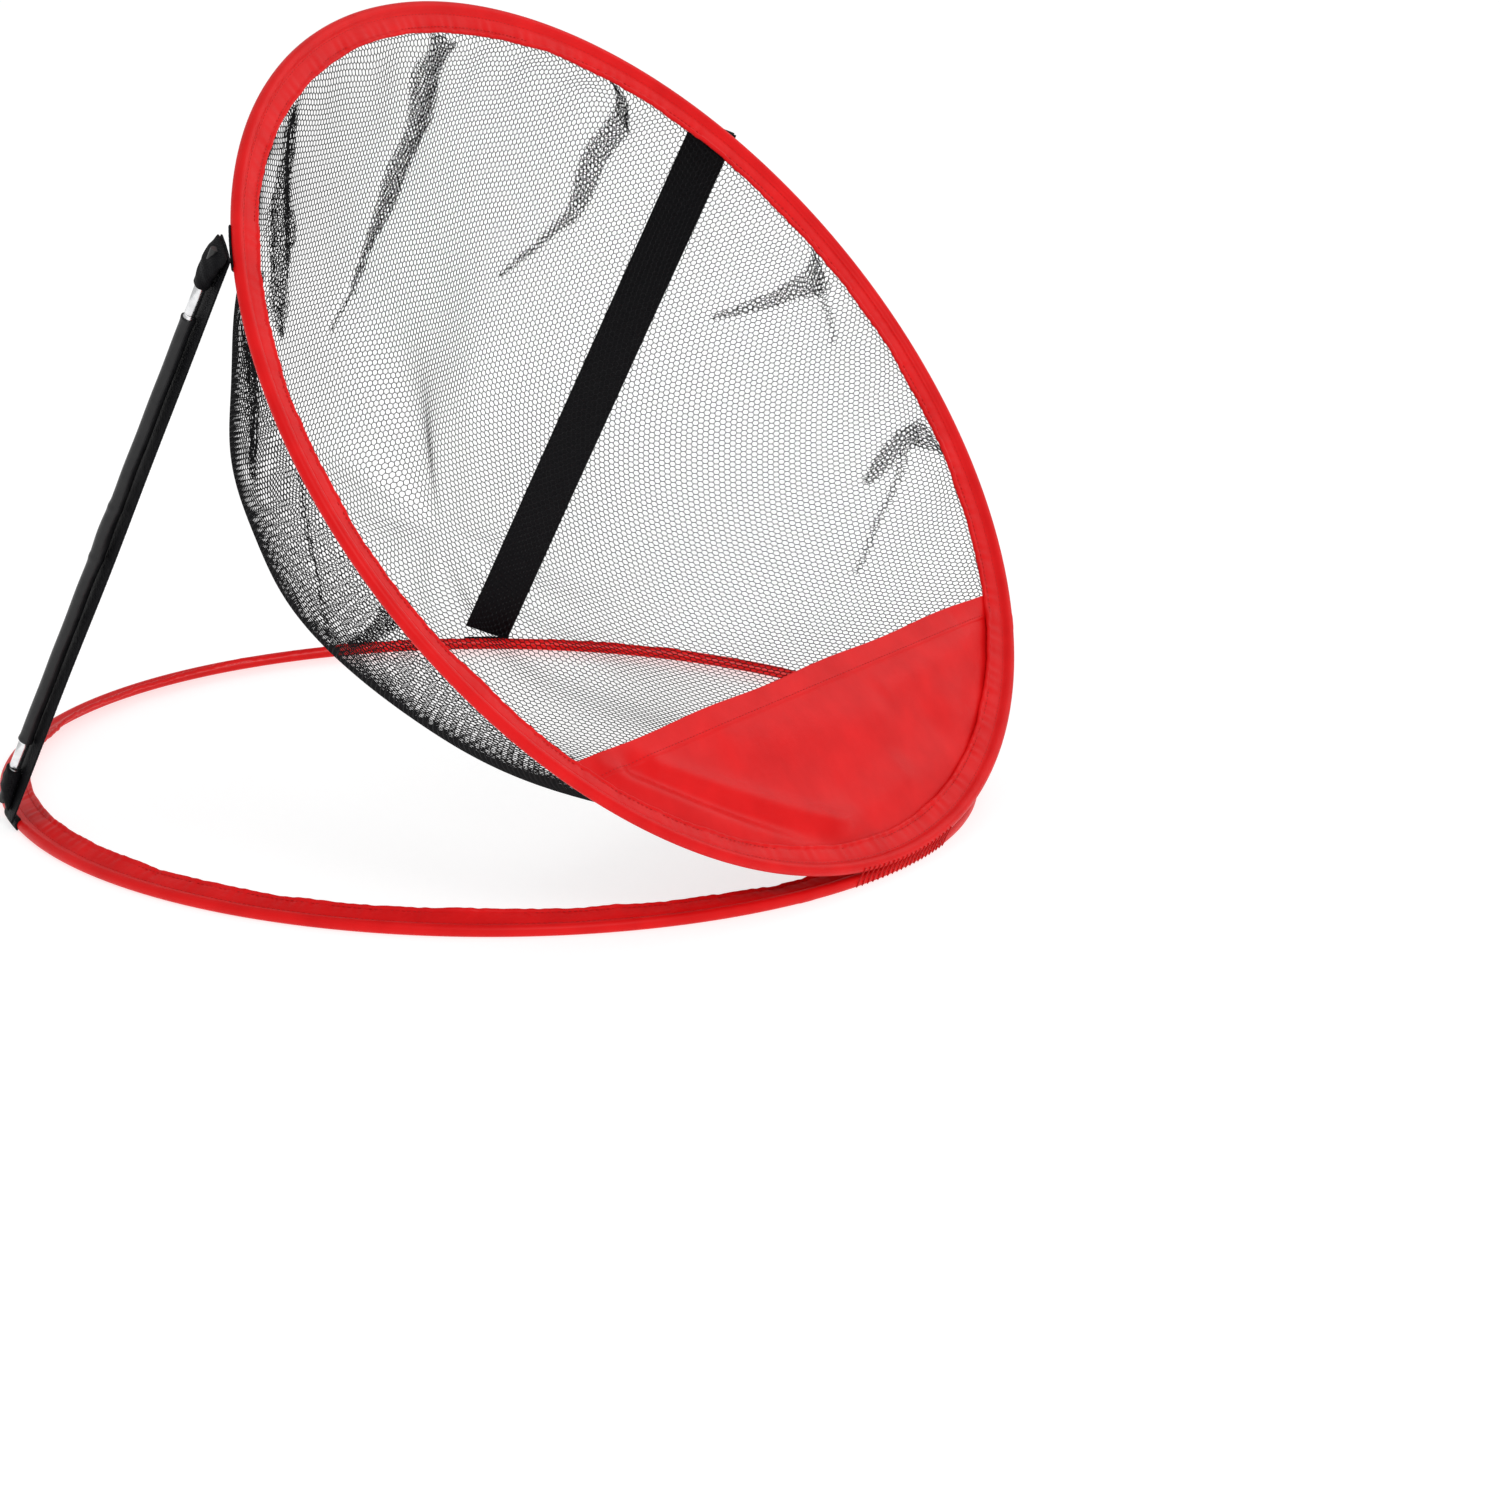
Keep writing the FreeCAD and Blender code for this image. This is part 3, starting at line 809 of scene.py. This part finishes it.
def build_tucks():
    """Two folded layers of net on each tuck and one on each crease, as one piece."""
    generator = np.random.default_rng(21)
    layers = [tuck_layer(line, layer, generator) for line in TUCKS for layer in (1, 2)]
    layers += [tuck_layer(line, 1, generator) for line in CREASES]
    points, faces = joined(layers)
    gather(new_object("net_tucks", points, faces, MESH, smooth=False))


build_net()
build_tucks()


# ---- the front panel ----

PANEL_CHORD = 143 * MM
PANEL_EDGE = 237 * MM
PANEL_CLOTH = 0.45 * MM
PANEL_SEWN_HEIGHT = -3.3 * MM
PANEL_SLACK = 2.0 * MM
HEM = 12 * MM
HEM_STEP = 0.8 * MM

# Soft folds in the panel: start and end on the mouth's plane, half-width and height, in millimetres.
PANEL_FOLDS = [
    (-170, -152, -72, -220, 6, 2.4),
    (-150, -156, -52, -226, 7, -3.0),
    (-132, -160, -30, -222, 6, 1.8),
    (-182, -156, -100, -210, 5, 1.8),
    (-10, -214, 80, -196, 18, -3.4),
    (-34, -224, 34, -210, 10, 2.2),
    (60, -168, 165, -160, 8, 1.3),
    (-70, -164, 40, -176, 13, 1.5),
    (120, -196, 168, -170, 8, -1.5),
    (150, -150, 172, -146, 6, -1.0),
]


def panel_height(x, y):
    """The panel's height off the mouth's plane: held down at its sewn edge and slack inside."""
    from_edge = PANEL_EDGE - np.hypot(x, y)
    rise = smooth_step(from_edge / (22 * MM))
    height = PANEL_SEWN_HEIGHT + PANEL_SLACK * rise
    height += 1.8 * MM * rise * np.sin(x / (46 * MM) + 0.6) * np.cos(y / (31 * MM))
    for x0, y0, x1, y1, half, size in PANEL_FOLDS:
        start = np.array([x0, y0]) * MM
        step = np.array([x1 - x0, y1 - y0]) * MM
        share = ((x - start[0]) * step[0] + (y - start[1]) * step[1]) / (step @ step)
        near = np.clip(share, 0, 1)
        off = np.hypot(x - start[0] - near * step[0], y - start[1] - near * step[1])
        height += size * MM * rise * np.exp(-((off / (half * MM)) ** 2))
    return height


def build_panel():
    """The half-moon of cloth across the mouth's bottom, its flat area and half of its top edge's length."""
    columns, rows = 420, 110
    share = np.linspace(-1, 1, columns)
    half_chord = math.sqrt(PANEL_EDGE**2 - PANEL_CHORD**2)
    x = (half_chord * np.sin(share * math.pi / 2))[:, None] * np.ones(rows)
    low = -np.sqrt(np.maximum(PANEL_EDGE**2 - x[:, :1] ** 2, 0))
    down = np.linspace(0, 1, rows)[None]
    y = -PANEL_CHORD + (low + PANEL_CHORD) * down
    height = panel_height(x, y)
    from_chord = -PANEL_CHORD - y
    past_hem = smooth_step((from_chord - HEM + HEM_STEP) / HEM_STEP)
    height = height + PANEL_CLOTH * (1 - past_hem)
    y = y + 0.5 * MM * np.sin(x / (17 * MM)) * (1 - smooth_step(from_chord / HEM))
    points = top_ring.on_plane(x, y, height)
    piece = new_object("front_panel_cloth", points, grid_faces(columns, rows), RED)
    thickness = piece.modifiers.new("cloth", "SOLIDIFY")
    thickness.thickness = PANEL_CLOTH
    thickness.offset = -1
    segment = math.acos(PANEL_CHORD / PANEL_EDGE)
    area = PANEL_EDGE**2 * segment - PANEL_CHORD * half_chord
    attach(piece, "hoop")
    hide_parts("front_panel")
    return piece, area, half_chord


def build_hem_stitches():
    """A row of stitches along the hem of the panel."""
    y = -PANEL_CHORD - HEM + 2.0 * MM
    half = math.sqrt(PANEL_EDGE**2 - y**2) - 6 * MM
    x = np.arange(-half, half, STITCH_PITCH)
    line = np.full_like(x, y)
    place = top_ring.on_plane(x, line, panel_height(x, line) + 0.5 * MM)
    template, faces = stitch_template(STITCH_LENGTH, STITCH_WIDTH, 0.4 * MM)
    axes = np.broadcast_to(np.stack([X_AXIS, up_slope, mouth_normal]), (len(x), 3, 3))
    points, quads = repeated(template, faces, place, axes)
    piece = new_object("panel_hem_stitches", points, quads, THREAD)
    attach(piece, "hoop")
    return piece


panel, panel_area, half_chord = build_panel()
hem_stitches = build_hem_stitches()


# ---- the front seam's thread ----

SEAM_STITCHES = np.arange(-40, 41, 4) * MM
SEAM_THREAD = 0.35 * MM
SEAM_GRIP = 1.2 * MM


def bent_tube(path, radius, sides=8):
    """Sections of a thin tube along a path of points."""
    path = np.asarray(path, float)
    tangent = unit_rows(np.gradient(path, axis=0))
    reference = X_AXIS if abs(tangent[0] @ X_AXIS) < 0.8 else Z_AXIS
    side = unit_rows(np.cross(tangent, reference))
    up = np.cross(tangent, side)
    turn = np.radians(np.arange(sides) * 360 / sides)
    ring = np.cos(turn)[None, :, None] * side[:, None] + np.sin(turn)[None, :, None] * up[:, None]
    return path[:, None] + radius * ring


def build_front_seam():
    """Threads that pass in front of both sleeves and hold them together."""
    parts = []
    for x in SEAM_STITCHES:
        back = math.sqrt(wire_ring_radius**2 - x**2)
        low = base_ring.on_plane(x, -back, 0)
        high = top_ring.on_plane(x, -back, 0)
        middle_point = (low + high) / 2
        off = CHANNEL_RADIUS + 0.25 * MM
        away = unit(np.cross(unit(high - low), X_AXIS))
        if away[1] > 0:
            away = -away
        climb = unit(high - low)
        path = [
            low - climb * SEAM_GRIP + away * off * 0.98,
            low + away * off,
            middle_point + away * off * 0.92,
            high + away * off,
            high + climb * SEAM_GRIP + away * off * 0.98,
        ]
        parts.append(closed_sweep(bent_tube(path, SEAM_THREAD)))
    points, faces = joined(parts)
    piece = new_object("front_seam_thread", points, faces, THREAD)
    front_low = base_ring.on_plane(0.0, -wire_ring_radius, 0.0)
    front_high = top_ring.on_plane(0.0, -wire_ring_radius, 0.0)
    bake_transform(piece)
    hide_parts("front_seam_stitches")


build_front_seam()


# ---- struts ----

STRAP_WIDTH = 25 * MM
SLEEVE_START = 43 * MM
POCKET_START = 3 * MM
CORD_START = 11 * MM
CORD_RADIUS = 0.8 * MM

# The strap stops short of the strut's two pivots, clear of the tabs when the strut folds.
STRAP_FOOT_GAP = 0.5 * MM
STRAP_HEAD_GAP = 3 * MM


def bend_at_middle(piece):
    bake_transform(piece)


def side_strap(strut, generator):
    """Woven strap: a ribbed ribbon with thicker selvedges and a slight sway."""
    rows = 420
    across_count = 44
    along = np.linspace(STRAP_FOOT_GAP, strut.length - STRAP_HEAD_GAP, rows)
    share = np.linspace(-1, 1, across_count)
    across = share * STRAP_WIDTH / 2
    selvedge = 0.18 * MM * smooth_step((np.abs(share) - 0.9) / 0.08)
    rib = 0.10 * MM * np.abs(np.sin(along / (1.7 * MM) * math.pi))
    chevron = 0.08 * MM * np.sin((np.abs(share) * 9)[None] + (along / (1.1 * MM))[:, None] * 2)
    half = 0.55 * MM + selvedge[None] + rib[:, None] * 0.6 + chevron * 0.5
    edge = np.sqrt(np.clip(1 - (np.abs(share) ** 14), 0, 1))
    half = half * edge[None]
    phase = generator.uniform(0, 6)
    away_from_ends = np.sin(math.pi * np.clip(along / strut.length, 0, 1))
    sway = 0.35 * MM * np.sin(along / (53 * MM) + phase) * away_from_ends
    sway = sway[:, None] + 0.12 * MM * np.sin(share * 3 + along[:, None] / (19 * MM))
    front = strut.at(across[None], sway + half, along[:, None])
    back = strut.at(across[None], sway - half, along[:, None])[:, ::-1]
    points, faces = closed_sweep(np.concatenate([front, back], 1))
    piece = new_object(strut.side + "_strap", points, faces, WEBBING)
    bend_at_middle(piece)
    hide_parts(strut.side + "_side_strap")


def pole_sleeve(strut, generator):
    """Cloth sleeve round the pole, sewn to the strap and wrinkled at the middle joint."""
    rows, sides = 300, 40
    along = np.linspace(SLEEVE_START, strut.length - SLEEVE_START, rows)
    turn = np.radians(np.arange(sides) * 360 / sides)
    from_middle = (along - strut.length / 2) / MM
    radius = np.full(rows, 3.45 * MM)
    radius += 0.35 * MM * np.exp(-((from_middle / 15) ** 2))
    upper_wrinkle = 0.3 * MM * np.exp(-(((from_middle - 16) / 2.2) ** 2))
    lower_wrinkle = 0.3 * MM * np.exp(-(((from_middle + 14) / 2) ** 2))
    radius += upper_wrinkle + lower_wrinkle
    near_end = np.minimum(along - along[0], along[-1] - along) / MM
    radius += 0.35 * MM * np.exp(-((near_end / 2.0) ** 2))
    crease = 0.16 * MM * np.sin(along[:, None] / (6 * MM) + 2 * np.sin(turn)[None] + generator.uniform(0, 6))
    crease = crease * (0.4 + np.exp(-((from_middle[:, None] / 30) ** 2)))
    radial = radius[:, None] + crease
    flat = np.sin(turn)[None]
    across = radial * np.cos(turn)[None] * 1.08
    foot_spread = np.clip(-flat, 0, 1) ** 3
    across = across * (1 + 0.35 * foot_spread)
    outward = POLE_OFFSET + radial * flat
    outward = np.maximum(outward, STRAP_HALF_THICKNESS + 0.15 * MM)
    points = strut.at(across, outward, along[:, None])
    outer, faces = closed_sweep(points)
    piece = new_object(strut.side + "_pole_cover", outer, faces, CLOTH)
    bend_at_middle(piece)
    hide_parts(strut.side + "_pole_sleeve")


def shock_cord(strut):
    """Elastic cord inside the pole, from one tip to the other."""
    along = np.linspace(CORD_START, strut.length - CORD_START, 160)
    path = strut.at(np.zeros_like(along), POLE_OFFSET, along)
    points, faces = closed_sweep(bent_tube(path, CORD_RADIUS))
    piece = new_object(strut.side + "_inner_cord", points, faces, CLOTH)
    bend_at_middle(piece)
    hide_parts(strut.side + "_shock_cord")


def end_body(strut, end):
    return "%s_strut_%s" % (strut.side, "lower" if end == "foot" else "upper")


def end_length(strut, end, distance):
    """Distance along the strut from its foot, for a distance from one of its ends."""
    return distance if end == "foot" else strut.length - distance


def ferrule(strut, end):
    """Bright tube with rolled grooves near both ends."""
    start, length, outer, bore = 17 * MM, 34 * MM, 2.9 * MM, 2.42 * MM
    rounding = 0.3 * MM
    groove_floor = outer - 0.35 * MM
    profile = [(0, bore), (0, outer - rounding), (rounding, outer)]
    for groove in (7.6 * MM, 23.5 * MM):
        steps = [(0, outer), (0.6 * MM, groove_floor), (1.4 * MM, groove_floor), (2.0 * MM, outer)]
        profile += [(groove + step, radius) for step, radius in steps]
    profile += [(length - rounding, outer), (length, outer - rounding), (length, bore)]
    turn = np.radians(np.arange(0, 360, 10))
    along = np.array([end_length(strut, end, start + z) for z, _ in profile])
    radius = np.array([r for _, r in profile])
    across = radius[:, None] * np.cos(turn)[None]
    outward = POLE_OFFSET + radius[:, None] * np.sin(turn)[None]
    points = strut.at(across, outward, along[:, None])
    faces = grid_faces(len(profile), len(turn), wrap_rows=True, wrap_columns=True)
    piece = new_object("%s_%s_ferrule_tube" % (strut.side, end), points, faces, METAL)
    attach(piece, end_body(strut, end))
    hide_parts("%s_%s_ferrule" % (strut.side, end))


def tip_pocket(strut, end):
    """Folded webbing round the pole's tip: flat and wide where it is sewn, round at its mouth."""
    spread = 5.6 if end == "foot" else 11.5
    sections = [
        (0.0, spread, 1.1, 1.9),
        (1.5, spread + 0.3, 1.6, 2.2),
        (5.0, spread * 0.9 + 0.6, 2.8, 3.4),
        (10.0, spread * 0.6 + 2.2, 3.6, 4.4),
        (16.0, spread * 0.25 + 3.8, 3.8, 4.75),
        (21.4, 4.6, 3.8, 4.8),
        (22.0, 4.3, 3.5, 4.8),
    ]
    z = np.array([s[0] for s in sections])
    fine = np.linspace(0, z[-1], 45)
    half_x = np.interp(fine, z, [s[1] for s in sections])
    half_y = np.interp(fine, z, [s[2] for s in sections])
    middle_y = np.interp(fine, z, [s[3] for s in sections])
    turn = np.radians(np.arange(0, 360, 7.5))
    power = 0.75
    cos = np.sign(np.cos(turn)) * np.abs(np.cos(turn)) ** power
    sin = np.sign(np.sin(turn)) * np.abs(np.sin(turn)) ** power
    wrinkle = 1 + 0.03 * np.sin(3 * turn[None] + fine[:, None] * 0.9)
    across = half_x[:, None] * cos[None] * wrinkle * MM
    outward = (middle_y[:, None] + half_y[:, None] * sin[None] * wrinkle) * MM
    outward = np.maximum(outward, STRAP_HALF_THICKNESS + 0.1 * MM)
    along = end_length(strut, end, POCKET_START + fine * MM)
    points, faces = closed_sweep(strut.at(across, outward, along[:, None]))
    piece = new_object("%s_%s_tip_pocket" % (strut.side, end), points, faces, WEBBING)
    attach(piece, end_body(strut, end))
    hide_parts("%s_%s_pocket" % (strut.side, end))


# The webbing goes over the base sleeve's outer edge, and stays under the top sleeve's.
TAB_TURN = {"foot": (-38, 72), "head": (-98, -8)}


def hoop_tab(strut, end, ring, body):
    """Webbing folded round the sleeve's outer edge, where the strap is sewn on."""
    node = "%s_%s_tab" % (strut.side, end)
    place = middle(node) - ring.centre
    bearing = math.atan2(place @ ring.slope, place @ X_AXIS)
    half_turn = STRAP_WIDTH / 2 / (wire_ring_radius + 4 * MM)
    angle = np.radians(np.linspace(*TAB_TURN[end], 26))
    reach = np.linspace(-half_turn, half_turn, 40)
    sections = []
    for offset in reach:
        rib = 0.08 * MM * abs(math.sin(offset * wire_ring_radius / (0.9 * MM)))
        outer = CHANNEL_RADIUS + 0.9 * MM + rib
        inner = CHANNEL_RADIUS + 0.12 * MM
        ring_radius = np.concatenate([outer * np.cos(angle), (inner * np.cos(angle))[::-1]])
        lift = np.concatenate([outer * np.sin(angle), (inner * np.sin(angle))[::-1]])
        sections.append(ring.at(wire_ring_radius + ring_radius, bearing + offset, lift))
    points, faces = closed_sweep(sections)
    if ring is base_ring:
        points[:, 2] = np.maximum(points[:, 2], 0.1 * MM)
    piece = new_object(node + "_webbing", points, faces, WEBBING)
    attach(piece, body)
    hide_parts(node)


def finish_hidden_nodes(strut):
    """Materials of the strut's rigid inner pieces, which keep their design shape."""
    for name in ("lower_rod", "upper_rod", "foot_tip", "head_tip"):
        paint(strut.side + "_" + name, PLASTIC)
    paint(strut.side + "_mid_ferrule", METAL)


def paint(node, material):
    piece = frame["nodes"][node]
    for holder in piece.material_slots:
        holder.material = material
    if not piece.material_slots:
        piece.data.materials.append(material)


for number, side in enumerate(("left", "right")):
    strut = Strut(side)
    own = np.random.default_rng(30 + number)
    side_strap(strut, own)
    pole_sleeve(strut, own)
    shock_cord(strut)
    for end, ring, body in (("foot", base_ring, "base"), ("head", top_ring, "hoop")):
        ferrule(strut, end)
        tip_pocket(strut, end)
        hoop_tab(strut, end, ring, body)
    finish_hidden_nodes(strut)

for hoop in ("base", "top"):
    paint(hoop + "_hoop_wire", STEEL)
    paint(hoop + "_hoop_crimp", STEEL)


# ---- floor, light and camera ----


def build_floor():
    size = 12.0
    points = [(-size, -size, 0), (size, -size, 0), (size, size, 0), (-size, size, 0)]
    mesh = bpy.data.meshes.new("floor")
    mesh.from_pydata(points, [], [(0, 1, 2, 3)])
    floor = bpy.data.objects.new("floor", mesh)
    mesh.materials.append(pale_floor())
    floor.location.z = -0.2 * MM
    bpy.context.scene.collection.objects.link(floor)


def area_light(name, place, target, size, power):
    data = bpy.data.lights.new(name, "AREA")
    data.size = size
    data.energy = power
    lamp = bpy.data.objects.new(name, data)
    aim = unit(np.array(target) - np.array(place))
    side = unit(np.cross(aim, Z_AXIS))
    up = np.cross(side, aim)
    lamp.matrix_world = matrix_of(side, up, -aim, place)
    bpy.context.scene.collection.objects.link(lamp)


def matrix_of(x_axis, y_axis, z_axis, place):
    matrix = Matrix(np.column_stack([x_axis, y_axis, z_axis]).tolist()).to_4x4()
    matrix.translation = [float(value) for value in place]
    return matrix


def light_scene():
    world = bpy.data.worlds.new("studio")
    world.use_nodes = True
    background = world.node_tree.nodes["Background"]
    background.inputs["Color"].default_value = (1, 1, 1, 1)
    background.inputs["Strength"].default_value = 0.62
    bpy.context.scene.world = world
    area_light("key", (-1.6, -2.2, 2.4), (0, 0, 0.15), 1.1, 36)
    area_light("fill", (2.2, -1.0, 1.6), (0, 0, 0.15), 1.8, 9)
    bpy.context.scene.view_settings.view_transform = "Standard"


CAMERA_AZIMUTH = math.radians(-55.09)
CAMERA_ELEVATION = math.radians(13.30)
CAMERA_DISTANCE = 2.491
CAMERA_YAW = math.radians(2.056)
CAMERA_DROP = math.radians(3.540)
CAMERA_ROLL = math.radians(0.441)
CAMERA_LENS = 119.8
AIM = np.array([0, -0.05, 0.19])


def place_camera():
    """A long lens from the front left; the object stands up and left of the picture's centre."""
    sin_a, cos_a = math.sin(CAMERA_AZIMUTH), math.cos(CAMERA_AZIMUTH)
    sin_e, cos_e = math.sin(CAMERA_ELEVATION), math.cos(CAMERA_ELEVATION)
    back = np.array([sin_a * cos_e, -cos_a * cos_e, sin_e])
    right = unit(np.cross(-back, Z_AXIS))
    up = np.cross(right, -back)
    look = -back * math.cos(CAMERA_YAW) + right * math.sin(CAMERA_YAW)
    right = unit(np.cross(look, up))
    look = look * math.cos(CAMERA_DROP) - up * math.sin(CAMERA_DROP)
    up = np.cross(right, look)
    rolled = right * math.cos(CAMERA_ROLL) + up * math.sin(CAMERA_ROLL)
    up = np.cross(rolled, look)
    data = bpy.data.cameras.new("camera")
    data.lens = CAMERA_LENS
    data.sensor_width = 36
    data.clip_end = 100
    camera = bpy.data.objects.new("camera", data)
    camera.matrix_world = matrix_of(rolled, up, -look, AIM + CAMERA_DISTANCE * back)
    bpy.context.scene.collection.objects.link(camera)
    bpy.context.scene.camera = camera


build_floor()
light_scene()
place_camera()
